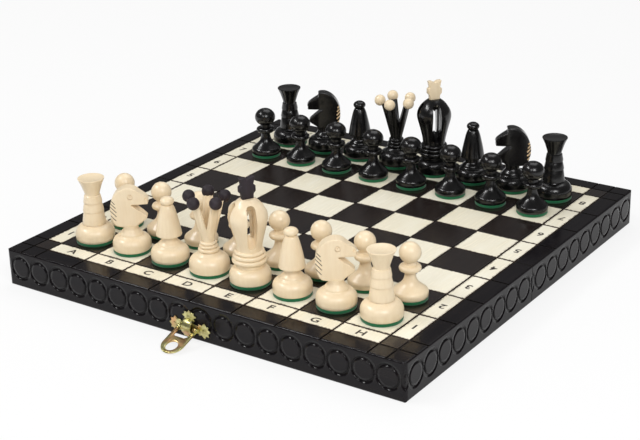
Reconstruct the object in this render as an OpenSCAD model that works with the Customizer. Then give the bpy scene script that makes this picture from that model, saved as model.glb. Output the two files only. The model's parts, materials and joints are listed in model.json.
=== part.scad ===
/* [Board] */
// Side of one playing square, with its share of the grooves
square_pitch = 30.25; // [29:0.25:34]
// Width of the border strip that holds the letters and numbers
label_w = 12; // [10:0.5:15]
// Width of the frame rails, seen from above
rail_w = 12; // [10:0.5:15]
// Height of one half, from its rim to the playing surface
half_h = 24; // [22:1:32]
// Thickness of the panel under the veneer
panel_t = 3.4; // [2.6:0.2:5]
// Thickness of the veneer squares
veneer_t = 0.6; // [0.4:0.1:1]
// Width of the ledge that carries the panel
ledge_w = 3; // [2:0.5:5]
// Width of the burnt grooves between squares and across the frame
groove_w = 1; // [0.6:0.1:1.4]
// Depth of the burnt grooves in the frame
groove_d = 0.6; // [0.4:0.1:1]
// Radius of the four upright corners
corner_r = 2.5; // [1.5:0.5:4]
// Radius of the long outer edges
edge_r = 1.2; // [0.6:0.2:2]

/* [Ring pattern] */
// Outer diameter of the pressed rings on the sides
ring_d = 15; // [11:0.5:15.2]
// Width of a ring's groove
ring_w = 1; // [0.6:0.1:1.4]
// Depth of a ring's groove
ring_depth = 0.4; // [0.2:0.1:0.8]
// Height of the ring centres above the rim
ring_z = 13.2; // [10:0.2:14]
// Plain margin at each end of a row of rings
ring_margin = 3; // [2.8:0.1:4]
// Gap between the two rings of a pair
ring_space = 0.5; // [0.3:0.1:1]

/* [Fold] */
// Gap between the two halves when they lie open
fold_gap = 0.5; // [0.4:0.1:1]
// Gap between the two rims when the box is shut
rim_gap = 0.3; // [0.2:0.1:0.6]
// Distance of each hinge from the middle
hinge_x = 88; // [60:2:105]
// Length of a hinge
hinge_l = 25; // [20:1:35]
// Outer radius of a hinge knuckle
knuckle_r = 2; // [1.6:0.1:2.4]
// Radius of the hinge pins
pin_r = 0.8; // [0.6:0.1:1]
// Thickness of a hinge leaf
leaf_t = 0.8; // [0.6:0.1:1.2]
// Reach of a hinge leaf from the fold
leaf_reach = 10.5; // [8.5:0.5:11.5]
// Radial clearance of every pin in its knuckle
pin_clearance = 0.05; // [0.02:0.01:0.1]

/* [Clasp] */
// Thickness of the clasp and keeper plates
plate_t = 0.9; // [0.7:0.1:1.2]
// Height of the clasp's pivot above the rim
pivot_z = 7.6; // [7.2:0.2:9]
// Width of the swinging bail
bail_w = 15; // [14:0.5:17]
// Width of the bail's ring and of its cross bar
bail_band = 2.1; // [1.8:0.1:2.6]
// Width of each of the bail's arms
arm_w = 3.1; // [2.6:0.1:3.4]
// Distance from the pivot to the centre of the bail's ring
bail_l = 14; // [13.5:0.25:15]
// Thickness of the bail
bail_t = 1; // [0.8:0.1:1.4]
// Slope of the bail below level as it lies on the table
bail_slope = 18; // [14:1:18]

/* [Men] */
// Height of a king, to which the other men are scaled
king_h = 66; // [58:1:72]
// Thickness of the felt under each man
felt_t = 1.3; // [1:0.1:2]
// Radius of a pawn's foot
pawn_foot_r = 10.2; // [9:0.2:11]
// Radius of a white pawn's ball
white_ball_r = 6.6; // [6:0.1:7.4]
// Radius of a black pawn's ball, which is turned fuller
black_ball_r = 7.2; // [6:0.1:7.4]
// Radius of a rook's foot
rook_foot_r = 12.6; // [11:0.2:12.8]
// Radius of a knight's foot
knight_foot_r = 11.9; // [11:0.1:12.8]
// Radius of a bishop's foot
bishop_foot_r = 11.7; // [11:0.1:12.8]
// Radius of a queen's foot
queen_foot_r = 12.3; // [11:0.1:12.8]
// Radius of a king's foot
king_foot_r = 12.4; // [11:0.1:12.8]
// Thickness of a knight's flat head
knight_t = 8.5; // [7:0.5:10]
// Width of the slots in a king's crown
crown_slot_w = 6.4; // [5:0.2:7]

/* [Hidden] */
$fn = 48;
play_half = 4 * square_pitch;
inner_half = play_half + label_w;
board_half = inner_half + rail_w;
board_w = 2 * board_half;
panel_z = half_h - veneer_t - panel_t;
veneer_z = half_h - veneer_t;
fold_half = fold_gap / 2;
axis_z = -rim_gap / 2;
over = 1;
ledge_in = inner_half - ledge_w;
spine_y = -fold_half - rail_w;
cell_w = square_pitch - groove_w;
strip_w = label_w - groove_w;
strip_mid = play_half + label_w / 2;
grid_lines = concat([-inner_half], [for (i = [-4 : 4]) i * square_pitch], [inner_half]);

// The rings stand in nine pairs along the front, and nine to a half along each side
ring_pairs = 9;
rings_a_side = 9;
pair_pitch = (board_w - 2 * ring_margin) / ring_pairs;
pair_gap = ring_d + ring_space;
side_pitch = (board_half - 2 * ring_margin) / rings_a_side;

// A hinge has five knuckles: three on the front leaf and two on the back leaf
knuckles = 5;
knuckle_l = hinge_l / knuckles;
knuckle_play = 0.2;
knuckle_room = 0.3;
pin_head_r = pin_r + 0.4;
pin_head_t = 0.5;
screw_x = hinge_l / 2 - 4.5;
screw_y = (leaf_reach + knuckle_r) / 2;
screw_head_r = 1.8;
screw_r = 0.9;
screw_l = 10;

// The clasp stands out from the front face, and its pivot leaves room for the bail's eyes
eye_r = 1.5;
eye_play = 0.1;
pivot_y = -board_half - plate_t - eye_r - eye_play;
bail_pin_r = 0.75;
curl_r = 1.9;
curl_half = 3.2;
tab_t = 1.4;
tab_h = 4.6;
tab_out = 0.9;
bar_h = 5;
stem_w = 5.6;
arm_in = bail_w / 2 - arm_w;
hole_r = bail_w / 2 - bail_band;
lobe_x = 10.8;
lobe_up = 6.4;
lobe_r = 3.1;
bumps = 9;
bump_r = 0.9;
boss_r = 5;
nail_head_r = 1.5;
nail_head_t = 0.5;
nail_r = 0.7;
nail_l = 7;
stud_r = 1.6;
stud_head_r = 2;
stud_l = 3.6;
stud_head_l = 1.4;
stud_play = 0.3;
// Height of the keeper's stud above its own rim, where the hanging ring's lower edge meets it
stud_z = bail_l + hole_r - pivot_z - rim_gap - stud_play - stud_head_r;
keeper_z = stud_z;

// The men are drawn for a king 66 high, and scaled from that
man_scale = king_h / 66;
function drawn(length) = length / man_scale;
// Film of glue between a man's parts, so that each stays a piece of its own
glue = 0.05;
wood_z = drawn(felt_t) + glue;

wood_white = [0.93, 0.88, 0.74];
wood_black = [0.08, 0.07, 0.08];
felt_green = [0.02, 0.28, 0.16];
burnt = [0.16, 0.1, 0.07];
brass = [0.78, 0.74, 0.42];
steel = [0.6, 0.6, 0.6];

files = ["a", "b", "c", "d", "e", "f", "g", "h"];
back_rank = ["rook", "knight", "bishop", "queen", "king", "bishop", "knight", "rook"];
// Each man: node name, kind, file, rank, and whether it is white
men = concat(
    [for (f = [0 : 7]) [str("white_", back_rank[f], "_", files[f]), back_rank[f], f, 0, true]],
    [for (f = [0 : 7]) [str("white_pawn_", files[f]), "pawn", f, 1, true]],
    [for (f = [0 : 7]) [str("black_pawn_", files[f]), "pawn", f, 6, false]],
    [for (f = [0 : 7]) [str("black_", back_rank[f], "_", files[f]), back_rank[f], f, 7, false]]
);
// How far each queen is turned on her square
white_queen_turn = -94;
black_queen_turn = -46;
box_nodes = [
    "front_rail", "front_left_rail", "front_right_rail", "front_spine_rail", "front_panel",
    "front_light_squares", "front_dark_squares", "front_border_cells",
    "back_rail", "back_left_rail", "back_right_rail", "back_spine_rail", "back_panel",
    "back_light_squares", "back_dark_squares", "back_border_cells",
    "front_hinge_leaves", "back_hinge_leaves", "front_hinge_screws", "back_hinge_screws", "hinge_pins",
    "clasp_plate", "clasp_nails", "clasp_bail", "keeper_plate", "keeper_nails"
];

// Outline helpers: points are radius and height, from the foot up
function arc(r, z, radius, from, to, n = 6) =
    [for (i = [0 : n]) let (a = from + (to - from) * i / n) [r + radius * cos(a), z + radius * sin(a)]];
function flare(r0, z0, r1, z1, n = 8) =
    [for (i = [0 : n]) let (t = i / n) [r1 + (r0 - r1) * (1 + cos(180 * t)) / 2, z0 + (z1 - z0) * t]];
function oval(z, r, h, from, to, n = 8) =
    [for (i = [0 : n]) let (a = from + (to - from) * i / n) [r * cos(a), z + h * sin(a)]];
function bead(r, z, h) = arc(r - h / 2, z + h / 2, h / 2, -90, 90);
function groove(r, z, w = 0.6, d = 0.4) = [[r, z - w / 2], [r - d, z], [r, z + w / 2]];
function foot(r, bulge, z) =
    concat([[r - 0.6, wood_z], [r, wood_z + 2]], arc(r - bulge, z, bulge, 0, 76, 8));
function closed(pts) =
    let (top = pts[len(pts) - 1])
    concat([[0, pts[0][1]]], pts, top[0] == 0 ? [] : [[0, top[1]]]);

module back_half() {
    mirror([0, 1, 0]) children();
}

module rounded_rect(w, d, r) {
    square([w - 2 * r, d], center = true);
    square([w, d - 2 * r], center = true);
    for (x = [-1, 1], y = [-1, 1]) translate([x * (w / 2 - r), y * (d / 2 - r)]) circle(r);
}

// The board's outer shape, with every outer edge rounded
module envelope() {
    intersection() {
        linear_extrude(half_h) rounded_rect(board_w, board_w, corner_r);
        translate([0, 0, half_h / 2]) rotate([90, 0, 0])
            linear_extrude(board_w + 2 * over, center = true) rounded_rect(board_w, half_h, edge_r);
        translate([0, 0, half_h / 2]) rotate([90, 0, 90])
            linear_extrude(board_w + 2 * over, center = true) rounded_rect(board_w, half_h, edge_r);
    }
}

module ring_groove() {
    difference() {
        cylinder(r = ring_d / 2, h = 2 * ring_depth, center = true);
        cylinder(r = ring_d / 2 - ring_w, h = 4 * ring_depth, center = true);
    }
}

module front_rings() {
    for (i = [0 : ring_pairs - 1], s = [-1, 1])
        translate([(i - (ring_pairs - 1) / 2) * pair_pitch + s * pair_gap / 2, -board_half, ring_z])
            rotate([90, 0, 0]) ring_groove();
}

module side_ring(i) {
    translate([board_half, -board_half + ring_margin + (i + 0.5) * side_pitch, ring_z])
        rotate([0, 90, 0]) ring_groove();
}

module cross_rail() {
    difference() {
        union() {
            intersection() {
                envelope();
                translate([-board_half, -board_half, 0]) cube([board_w, rail_w, half_h]);
            }
            translate([-ledge_in, -inner_half, 0]) cube([2 * ledge_in, ledge_w, panel_z]);
        }
        for (x = grid_lines)
            translate([x - groove_w / 2, -board_half - over, half_h - groove_d])
                cube([groove_w, rail_w + 2 * over, groove_d + over]);
        translate([-board_half - over, -inner_half - groove_w / 2, half_h - groove_d])
            cube([board_w + 2 * over, groove_w, groove_d + over]);
        front_rings();
        for (s = [0, 1]) mirror([s, 0, 0]) side_ring(0);
    }
}

module side_rail() {
    difference() {
        union() {
            intersection() {
                envelope();
                translate([inner_half, -inner_half, 0])
                    cube([rail_w, inner_half - fold_half, half_h]);
            }
            translate([ledge_in, -inner_half, 0])
                cube([ledge_w, inner_half + spine_y, panel_z]);
        }
        for (i = [0 : 4])
            translate([inner_half - over, grid_lines[i] - groove_w / 2, half_h - groove_d])
                cube([rail_w + 2 * over, groove_w, groove_d + over]);
        translate([inner_half - groove_w / 2, -inner_half - over, half_h - groove_d])
            cube([groove_w, inner_half + 2 * over, groove_d + over]);
        for (i = [0 : rings_a_side - 1]) side_ring(i);
    }
}

module spine_rail() {
    difference() {
        translate([-inner_half, spine_y, 0]) cube([2 * inner_half, rail_w, panel_z]);
        for (x = [-hinge_x, hinge_x]) translate([x, 0, 0]) {
            translate([-hinge_l / 2, -leaf_reach, -over]) cube([hinge_l, leaf_reach, leaf_t + over]);
            translate([0, 0, axis_z]) rotate([0, 90, 0])
                cylinder(r = knuckle_r + knuckle_room, h = hinge_l + 4 * pin_head_t, center = true);
            for (s = [-1, 1]) translate([s * screw_x, -screw_y, leaf_t - over])
                cylinder(r = screw_r, h = screw_l - leaf_t + over);
        }
    }
}

module panel() {
    translate([-inner_half, -inner_half, panel_z])
        cube([2 * inner_half, inner_half - fold_half, panel_t]);
}

module cell(x, y, w, d) {
    translate([x - w / 2, y - d / 2, veneer_z]) cube([w, d, veneer_t]);
}

// Squares of one colour on four ranks, the lower left one of the board dark
module squares(first_rank, dark) {
    for (r = [first_rank : first_rank + 3], f = [0 : 7])
        if (((f + r) % 2 == 0) == dark)
            cell((f - 3.5) * square_pitch, (r - 3.5) * square_pitch, cell_w, cell_w);
}

module corner_cells() {
    for (s = [-1, 1]) cell(s * strip_mid, -strip_mid, strip_w, strip_w);
}

module border_cells() {
    for (f = [0 : 7]) cell((f - 3.5) * square_pitch, -strip_mid, cell_w, strip_w);
    for (r = [0 : 3], s = [-1, 1]) cell(s * strip_mid, (r - 3.5) * square_pitch, strip_w, cell_w);
}

module knuckle(i) {
    translate([(i - (knuckles - 1) / 2) * knuckle_l, 0, 0]) {
        translate([0, 0, axis_z]) rotate([0, 90, 0])
            cylinder(r = knuckle_r, h = knuckle_l - knuckle_play, center = true);
        translate([-(knuckle_l - knuckle_play) / 2, -knuckle_r - 2 * knuckle_room, 0])
            cube([knuckle_l - knuckle_play, knuckle_r + 2 * knuckle_room, leaf_t]);
    }
}

// One hinge leaf with the knuckles that belong to it
module hinge_leaf(own) {
    difference() {
        union() {
            translate([-hinge_l / 2, -leaf_reach, 0])
                cube([hinge_l, leaf_reach - knuckle_r - knuckle_room, leaf_t]);
            for (i = own) knuckle(i);
        }
        translate([0, 0, axis_z]) rotate([0, 90, 0])
            cylinder(r = pin_r + pin_clearance, h = hinge_l + 2 * over, center = true);
        for (s = [-1, 1]) translate([s * screw_x, -screw_y, 0])
            cylinder(r1 = screw_head_r, r2 = screw_r, h = leaf_t);
    }
}

module hinge_screw() {
    difference() {
        union() {
            cylinder(r1 = screw_head_r, r2 = screw_r, h = leaf_t);
            translate([0, 0, leaf_t]) cylinder(r = screw_r, h = screw_l - leaf_t);
        }
        translate([-screw_head_r, -0.2, -over]) cube([2 * screw_head_r, 0.4, over + 0.4]);
    }
}

module hinge_screws() {
    for (x = [-hinge_x, hinge_x], s = [-1, 1])
        translate([x + s * screw_x, -screw_y, 0]) hinge_screw();
}

module hinge_pins() {
    color(steel) for (x = [-hinge_x, hinge_x]) translate([x, 0, axis_z]) rotate([0, 90, 0]) {
        cylinder(r = pin_r, h = hinge_l, center = true);
        for (s = [-1, 1]) translate([0, 0, s * (hinge_l + pin_head_t) / 2])
            cylinder(r = pin_head_r, h = pin_head_t, center = true);
    }
}

// A nail's lobe: a round pad with a scalloped edge
module lobe() {
    circle(lobe_r);
    for (i = [0 : bumps - 1]) rotate(i * 360 / bumps) translate([lobe_r, 0]) circle(bump_r);
}

// Outline of the clasp plate about its middle, as seen from the front
module plate_outline() {
    circle(boss_r);
    square([2 * lobe_x, bar_h], center = true);
    square([stem_w, 2 * lobe_up], center = true);
    for (s = [-1, 1]) translate([s * lobe_x, 0]) lobe();
    translate([0, lobe_up]) lobe();
}

nail_places = [[-lobe_x, 0], [lobe_x, 0], [0, lobe_up]];

// Turns an upright outline to stand on the front face, growing outwards
module on_front(z, t) {
    translate([0, -board_half, z]) rotate([90, 0, 0]) linear_extrude(t) children();
}

module nail_holes(z, up) {
    for (p = nail_places) translate([p[0], -board_half + over, z + up * p[1]])
        rotate([90, 0, 0]) cylinder(r = nail_r, h = 2 * over + plate_t);
}

module nail() {
    rotate([-90, 0, 0]) cylinder(r = nail_r, h = nail_l + plate_t);
    intersection() {
        translate([0, nail_head_r, 0]) sphere(nail_head_r + nail_head_t);
        translate([-nail_head_r, -nail_head_t, -nail_head_r])
            cube([2 * nail_head_r, nail_head_t, 2 * nail_head_r]);
        rotate([90, 0, 0]) cylinder(r = nail_head_r, h = nail_head_t);
    }
}

module nails(z, up) {
    for (p = nail_places) translate([p[0], -board_half - plate_t, z + up * p[1]]) nail();
}

module nail_bores(z, up) {
    for (p = nail_places) translate([p[0], -board_half - over, z + up * p[1]])
        rotate([-90, 0, 0]) cylinder(r = nail_r, h = nail_l + over);
}

module clasp_plate() {
    color(brass) difference() {
        union() {
            on_front(pivot_z, plate_t) plate_outline();
            // The curl that holds the bail's cross pin, with its strap above and its tab below
            translate([-curl_half, pivot_y, pivot_z]) {
                rotate([0, 90, 0]) cylinder(r = curl_r, h = 2 * curl_half);
                cube([2 * curl_half, -board_half - pivot_y, curl_r]);
            }
            translate([-curl_half, -board_half - plate_t - tab_out, pivot_z - tab_h])
                cube([2 * curl_half, tab_t, tab_h]);
        }
        translate([0, pivot_y, pivot_z]) rotate([0, 90, 0])
            cylinder(r = bail_pin_r + pin_clearance, h = 4 * curl_half, center = true);
        nail_holes(pivot_z, 1);
    }
}

module clasp_nails() {
    color(brass) nails(pivot_z, 1);
}

// The bail lies in its own plane, from the pivot at the origin along -Y, and slopes to the table
module bail_outline() {
    difference() {
        union() {
            translate([-bail_w / 2, -bail_l]) square([bail_w, bail_l]);
            translate([0, -bail_l]) circle(bail_w / 2);
        }
        translate([0, -bail_l]) circle(hole_r);
        translate([-arm_in, -bail_l + hole_r + bail_band]) square([2 * arm_in, bail_l]);
    }
}

module clasp_bail() {
    color(brass) translate([0, pivot_y, pivot_z]) rotate([bail_slope, 0, 0]) {
        translate([0, 0, -bail_t / 2]) linear_extrude(bail_t) bail_outline();
        for (s = [0, 1]) mirror([s, 0, 0]) translate([arm_in, 0, 0]) rotate([0, 90, 0])
            cylinder(r = eye_r, h = bail_w / 2 - arm_in);
        rotate([0, 90, 0]) cylinder(r = bail_pin_r, h = 2 * arm_in + over, center = true);
    }
}

// The keeper stands on the back rail, upside down, so that it meets the clasp when the box is shut
module keeper_plate() {
    color(brass) back_half() difference() {
        union() {
            on_front(keeper_z, plate_t) mirror([0, 1, 0]) plate_outline();
            on_front(stud_z, plate_t + stud_l) circle(stud_r);
            translate([0, stud_head_l - plate_t - stud_l, 0])
                on_front(stud_z, stud_head_l) circle(stud_head_r);
        }
        nail_holes(keeper_z, -1);
    }
}

module keeper_nails() {
    color(brass) back_half() nails(keeper_z, -1);
}

// The men stand on felt, and above it each is turned to an outline of its own
module felt(r) {
    color(felt_green) cylinder(r = r - 0.4, h = drawn(felt_t));
}

module turned(outline) {
    rotate_extrude() polygon(closed(outline));
}

module pawn(wood, r, ball_r) {
    felt(r);
    color(wood) turned(concat(
        [[r - 0.5, wood_z], [r, wood_z + 1]],
        flare(r, 3.4, 3.2, 13.8, 10), [[3.1, 18]], bead(6.3, 18, 4), oval(28.8, ball_r, 6.5, -58, 90, 14)
    ));
}

module rook(wood, r) {
    felt(r);
    color(wood) turned(concat(
        foot(r, 5.6, 5.8), groove(7.9, 12.4), groove(6.9, 20.4), groove(6.1, 26), [[5.3, 30.6], [4.8, 31]],
        [[5.6, 34.2], [6.8, 38], [8.2, 41.2], [8.4, 41.7], [8.2, 42], [7.6, 42], [6.6, 41.2]]
    ));
}

module bishop(wood, r) {
    felt(r);
    color(wood) turned(concat(
        foot(r, 4.6, 5.8), [[7.6, 11]], flare(7.2, 11, 4.9, 14.4, 5), [[4.8, 17.2], [7.4, 17.2]],
        [[7.9, 17.8], [7.5, 20.5], [6.8, 24.5], [5.7, 29.5], [4.6, 34], [3.6, 36.4]],
        oval(38.9, 4.3, 2.8, -50, 90, 9)
    ));
}

// Upright outline of a knight's flat head, from the neck round by the mane to the nose and chest
horse = [
    [-3.2, 17.2], [-8, 17.4], [-10, 19.8], [-11.4, 23.4], [-12, 27.4], [-11.7, 31.4], [-10.4, 35.4],
    [-8.2, 38.8], [-5.2, 41.6], [-1.8, 43.3], [1.6, 43.9], [4.8, 43.4], [5.2, 42.6], [4.2, 40.9],
    [7.6, 39.3], [11.2, 37.3], [13.2, 35.6], [13.7, 34.2], [12.8, 33.2], [13.5, 32.2], [13.2, 31.2],
    [9.6, 31.2], [5.2, 31.4], [1.4, 31.4], [5.6, 28.6], [9.4, 26], [12.2, 23.8], [12.5, 22.6],
    [11, 21], [7.4, 19.2], [4.6, 17.2]
];
eye_at = [1.4, 36.6];
mane_cuts = 5;
mane_at = [-9.8, 23.4];
mane_rise = 2.7;
cut_depth = 0.4;

module horse_marks() {
    translate([eye_at[0], 0, eye_at[1]]) rotate([90, 0, 0]) {
        difference() {
            cylinder(r = 1.25, h = 2 * cut_depth, center = true);
            cylinder(r = 0.75, h = 2 * over, center = true);
        }
        cylinder(r = 0.35, h = 2 * cut_depth, center = true);
    }
    for (i = [0 : mane_cuts - 1]) translate([mane_at[0], 0, mane_at[1] + mane_rise * i])
        rotate([0, 48, 0]) cube([6, 2 * cut_depth, 0.5], center = true);
}

module knight(wood, r, t) {
    felt(r);
    color(wood) difference() {
        union() {
            turned(concat(
                foot(r, 4.8, 5.8), [[7.5, 11.2]], flare(7.1, 11.2, 4.6, 15.6, 5), [[4.9, 17.8]]
            ));
            rotate([90, 0, 0]) linear_extrude(t, center = true) polygon(horse);
        }
        for (s = [-1, 1]) translate([0, s * t / 2, 0]) horse_marks();
    }
}

prongs = 5;
prong_top = 45.6;
prong_notch = [4.2, 28.3];
ball_r = 3.85;
ball_at = [11.2, 47];

module queen_balls(r) {
    for (i = [0 : prongs - 1]) rotate(i * 360 / prongs)
        translate([ball_at[0], 0, ball_at[1]]) sphere(r, $fn = 30);
}

// A hollow trumpet above three beads, notched into prongs that each carry a ball
module queen(wood, tip, r) {
    felt(r);
    color(wood) difference() {
        turned(concat(
            foot(r, 6, 5.8), [[6.2, 13.4]], bead(6.5, 13.6, 2.4), bead(5.7, 16, 2.1), bead(5.1, 18.1, 1.9),
            [[4, 20.4], [4.4, 22.5], [10.4, prong_top], [8, prong_top], [1.4, 25.6], [0, 25.2]]
        ));
        for (i = [0 : prongs - 1]) rotate((i + 0.5) * 360 / prongs) rotate([90, 0, 90])
            linear_extrude(2 * ball_at[0]) polygon([
                [0, prong_notch[1]], [prong_notch[0], prong_top + over], [-prong_notch[0], prong_top + over]
            ]);
        queen_balls(ball_r + glue);
    }
    color(tip) queen_balls(ball_r);
}

crown_slots = 4;
slot_r = 14.6;
slot_at = [13, 37.4];
cross_t = 4;
cross_turn = 55;
cross = [
    [-3.4, 53.1 + glue], [3.4, 53.1 + glue], [3.6, 56], [4.9, 57.4], [4.9, 60.6], [3.6, 61.6],
    [4.6, 66], [2.2, 66], [0, 64.8], [-2.2, 66], [-4.6, 66], [-3.6, 61.6], [-4.9, 60.6],
    [-4.9, 57.4], [-3.6, 56]
];

// Each slot of the crown is cut by a round cutter, thin at its rim, that comes in from the side
module slot_cutter(w) {
    translate([slot_at[0], 0, slot_at[1]]) rotate([90, 0, 0]) rotate_extrude($fn = 32)
        polygon([for (a = [-90 : 45 : 90]) [slot_r * cos(a), w / 2 * sin(a)]]);
}

module king(wood, tip, r, slot_w) {
    felt(r);
    color(wood) difference() {
        turned(concat(
            foot(r, 5.4, 5.8), [[8.4, 12.6]], bead(10.6, 13.8, 2.8), bead(9.9, 16.6, 2.6),
            bead(9, 19.2, 2.2), [[7.6, 21.6], [7.8, 24.5], [8.7, 28.5], [9.8, 33], [11.2, 38]],
            [[11.8, 41.2], [11.5, 44.2], [10.4, 47], [8.5, 49.6], [6.4, 51.6], [4.3, 53.1]]
        ));
        for (i = [0 : crown_slots - 1]) rotate((i + 0.5) * 360 / crown_slots) slot_cutter(slot_w);
    }
    color(tip) rotate([90, 0, cross_turn]) linear_extrude(cross_t, center = true) polygon(cross);
}

module man(kind, wood, tip, ball_r) {
    if (kind == "pawn") pawn(wood, drawn(pawn_foot_r), drawn(ball_r));
    if (kind == "rook") rook(wood, drawn(rook_foot_r));
    if (kind == "knight") knight(wood, drawn(knight_foot_r), drawn(knight_t));
    if (kind == "bishop") bishop(wood, drawn(bishop_foot_r));
    if (kind == "queen") queen(wood, tip, drawn(queen_foot_r));
    if (kind == "king") king(wood, tip, drawn(king_foot_r), drawn(crown_slot_w));
}

// White stands on the front half, and its knights look to the right; black's look to the left
module place_man(m) {
    white = m[4];
    turn = m[1] != "queen" ? 0 : white ? white_queen_turn : black_queen_turn;
    translate([(m[2] - 3.5) * square_pitch, (m[3] - 3.5) * square_pitch, half_h])
        rotate((white ? 0 : 180) + turn) scale(man_scale)
            man(m[1], white ? wood_white : wood_black, white ? wood_black : wood_white,
                white ? white_ball_r : black_ball_r);
}

module front_rail() {
    color(wood_black) difference() {
        cross_rail();
        nail_bores(pivot_z, 1);
    }
}

module back_rail() {
    color(wood_black) back_half() difference() {
        cross_rail();
        nail_bores(keeper_z, -1);
    }
}

front_rail();
color(wood_black) mirror([1, 0, 0]) side_rail();  // front_left_rail
color(wood_black) side_rail();  // front_right_rail
color(wood_black) spine_rail();  // front_spine_rail
color(burnt) panel();  // front_panel
color(wood_white) squares(0, false);  // front_light_squares
color(wood_black) { squares(0, true); corner_cells(); }  // front_dark_squares
color(wood_white) border_cells();  // front_border_cells
back_rail();
color(wood_black) back_half() mirror([1, 0, 0]) side_rail();  // back_left_rail
color(wood_black) back_half() side_rail();  // back_right_rail
color(wood_black) back_half() spine_rail();  // back_spine_rail
color(burnt) back_half() panel();  // back_panel
color(wood_white) squares(4, false);  // back_light_squares
color(wood_black) { squares(4, true); back_half() corner_cells(); }  // back_dark_squares
color(wood_white) back_half() border_cells();  // back_border_cells
color(brass) for (x = [-hinge_x, hinge_x]) translate([x, 0, 0]) hinge_leaf([0, 2, 4]);  // front_hinge_leaves
color(brass) back_half() for (x = [-hinge_x, hinge_x]) translate([x, 0, 0]) hinge_leaf([1, 3]);  // back_hinge_leaves
color(brass) hinge_screws();  // front_hinge_screws
color(brass) back_half() hinge_screws();  // back_hinge_screws
hinge_pins();
clasp_plate();
clasp_nails();
clasp_bail();
keeper_plate();
keeper_nails();
for (m = men) place_man(m);
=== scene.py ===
import json
import math

import bmesh
import bpy
from mathutils import Matrix, Vector

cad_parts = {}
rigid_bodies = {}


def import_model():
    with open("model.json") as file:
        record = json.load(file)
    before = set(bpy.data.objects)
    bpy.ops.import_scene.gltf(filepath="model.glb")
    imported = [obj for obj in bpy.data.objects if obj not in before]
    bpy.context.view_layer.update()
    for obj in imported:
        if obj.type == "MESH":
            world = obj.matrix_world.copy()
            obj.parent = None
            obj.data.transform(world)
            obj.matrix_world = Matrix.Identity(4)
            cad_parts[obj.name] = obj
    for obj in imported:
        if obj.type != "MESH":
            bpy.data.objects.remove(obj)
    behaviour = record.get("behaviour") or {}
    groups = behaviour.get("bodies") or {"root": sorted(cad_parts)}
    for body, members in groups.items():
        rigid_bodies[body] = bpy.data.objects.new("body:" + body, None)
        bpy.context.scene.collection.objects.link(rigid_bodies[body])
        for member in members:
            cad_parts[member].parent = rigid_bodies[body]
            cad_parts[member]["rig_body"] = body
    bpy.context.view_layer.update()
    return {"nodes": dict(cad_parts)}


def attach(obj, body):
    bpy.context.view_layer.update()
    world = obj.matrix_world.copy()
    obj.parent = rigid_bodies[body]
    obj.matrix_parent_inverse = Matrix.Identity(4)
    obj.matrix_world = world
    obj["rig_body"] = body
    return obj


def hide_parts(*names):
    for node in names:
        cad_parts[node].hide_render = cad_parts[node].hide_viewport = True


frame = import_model()
nodes = frame["nodes"]
mm = 0.001


# ---- shader helpers: an expression on values adds its Math nodes
class Value:
    def __init__(self, finish, socket):
        self.finish, self.socket = finish, socket

    def maths(self, operation, *values):
        return self.finish.node("ShaderNodeMath", {"operation": operation}, values)

    def __add__(self, other):
        return self.maths("ADD", self, other)

    __radd__ = __add__

    def __sub__(self, other):
        return self.maths("SUBTRACT", self, other)

    def __rsub__(self, other):
        return self.maths("SUBTRACT", other, self)

    def __mul__(self, other):
        return self.maths("MULTIPLY", self, other)

    __rmul__ = __mul__

    def __lt__(self, other):
        return self.maths("LESS_THAN", self, other)

    def __gt__(self, other):
        return self.maths("GREATER_THAN", self, other)

    def __abs__(self):
        return self.maths("ABSOLUTE", self)

    def least(self, other):
        return self.maths("MINIMUM", self, other)

    def most(self, other):
        return self.maths("MAXIMUM", self, other)


class Finish:
    sockets = {"colour": "Base Color", "roughness": "Roughness", "metallic": "Metallic", "normal": "Normal",
               "specular": "Specular IOR Level", "sheen": "Sheen Weight",
               "coat": "Coat Weight", "coatRoughness": "Coat Roughness"}

    def __init__(self, name):
        self.material = bpy.data.materials.new(name)
        self.material.use_nodes = True
        self.nodes = self.material.node_tree.nodes
        self.links = self.material.node_tree.links
        self.nodes.clear()
        self.shader = self.nodes.new("ShaderNodeBsdfPrincipled")
        self.out = self.nodes.new("ShaderNodeOutputMaterial")
        self.links.new(self.shader.outputs[0], self.out.inputs[0])

    def join(self, socket, value):
        if isinstance(value, Value):
            self.links.new(value.socket, socket)
        else:
            socket.default_value = value

    def node(self, kind, settings, sockets, output=0):
        made = self.nodes.new(kind)
        for key, value in settings.items():
            setattr(made, key, value)
        pairs = sockets.items() if isinstance(sockets, dict) else enumerate(sockets)
        for key, value in pairs:
            self.join(made.inputs[key], value)
        return Value(self, made.outputs[output])

    def paint(self, **values):
        for name, value in values.items():
            self.join(self.shader.inputs[self.sockets[name]], value)
        return self.material

    def place(self, stretch=(1, 1, 1)):
        here = self.node("ShaderNodeTexCoord", {}, {}, "Object")
        return self.node("ShaderNodeMapping", {}, {"Vector": here, "Scale": stretch})

    def axes(self):
        here = self.node("ShaderNodeTexCoord", {}, {}, "Object")
        return [self.node("ShaderNodeSeparateXYZ", {}, [here], i) for i in range(3)]

    def noise(self, where, scale, detail=3.0, rough=0.5):
        sockets = {"Vector": where, "Scale": scale, "Detail": detail, "Roughness": rough}
        return self.node("ShaderNodeTexNoise", {}, sockets)

    def fraction(self, value):
        return self.node("ShaderNodeMath", {"operation": "FRACT"}, [value])

    def ease(self, value, low, high, shape="LINEAR"):
        return self.node("ShaderNodeMapRange", {"interpolation_type": shape}, [value, low, high, 0.0, 1.0])

    def mix(self, share, first, second):
        return self.node("ShaderNodeMix", {"data_type": "RGBA"}, {0: share, 6: first, 7: second}, 2)

    def relief(self, height, depth, strength=1.0):
        return self.node("ShaderNodeBump", {}, {"Strength": strength, "Distance": depth, "Height": height})


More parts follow.
